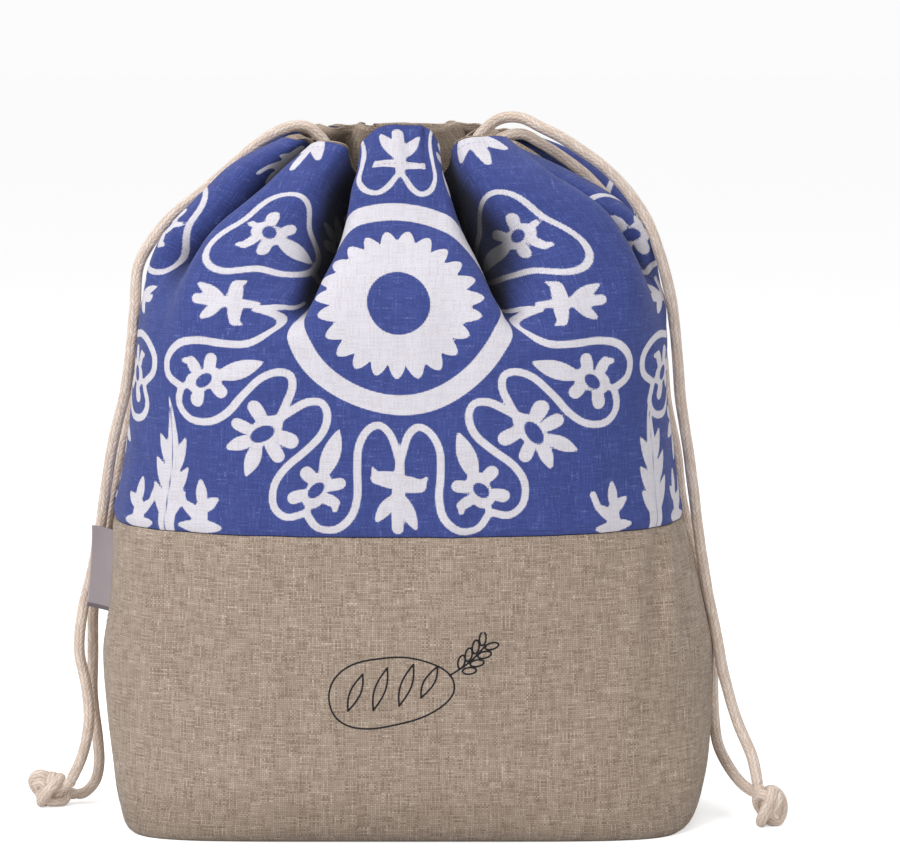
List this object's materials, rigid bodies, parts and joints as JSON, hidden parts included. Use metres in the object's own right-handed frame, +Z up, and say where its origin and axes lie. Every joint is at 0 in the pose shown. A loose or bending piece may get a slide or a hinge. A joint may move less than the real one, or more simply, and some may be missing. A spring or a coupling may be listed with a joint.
{
  "type": "drawstring bread bag",
  "caption": "Boxed linen bag with a printed upper part, its neck drawn into folds by knotted cords.",
  "frame": {"origin": "middle of the flat bottom, on the surface that the bag stands on", "axes": "+Z up through the mouth, -Y towards the front with the drawing, +X towards the bag's right as seen from the front"},
  "size_m": [0.3753, 0.1732, 0.3465],
  "materials": {
    "natural_linen": "slubby plain weave, undyed",
    "printed_linen": "plain weave with a blue ground and white print",
    "cotton_cord": "soft braided cotton",
    "label_ribbon": "smooth woven ribbon, blank"
  },
  "bodies": {
    "root": {"lower_panel": "natural_linen", "upper_front": "printed_linen", "upper_back": "printed_linen", "facing_front": "natural_linen", "facing_back": "natural_linen", "label": "label_ribbon", "cord_left_front": "cotton_cord", "cord_left_back": "cotton_cord", "cord_right_front": "cotton_cord", "cord_right_back": "cotton_cord", "knot_left": "cotton_cord", "knot_right": "cotton_cord"}
  },
  "joints": []
}
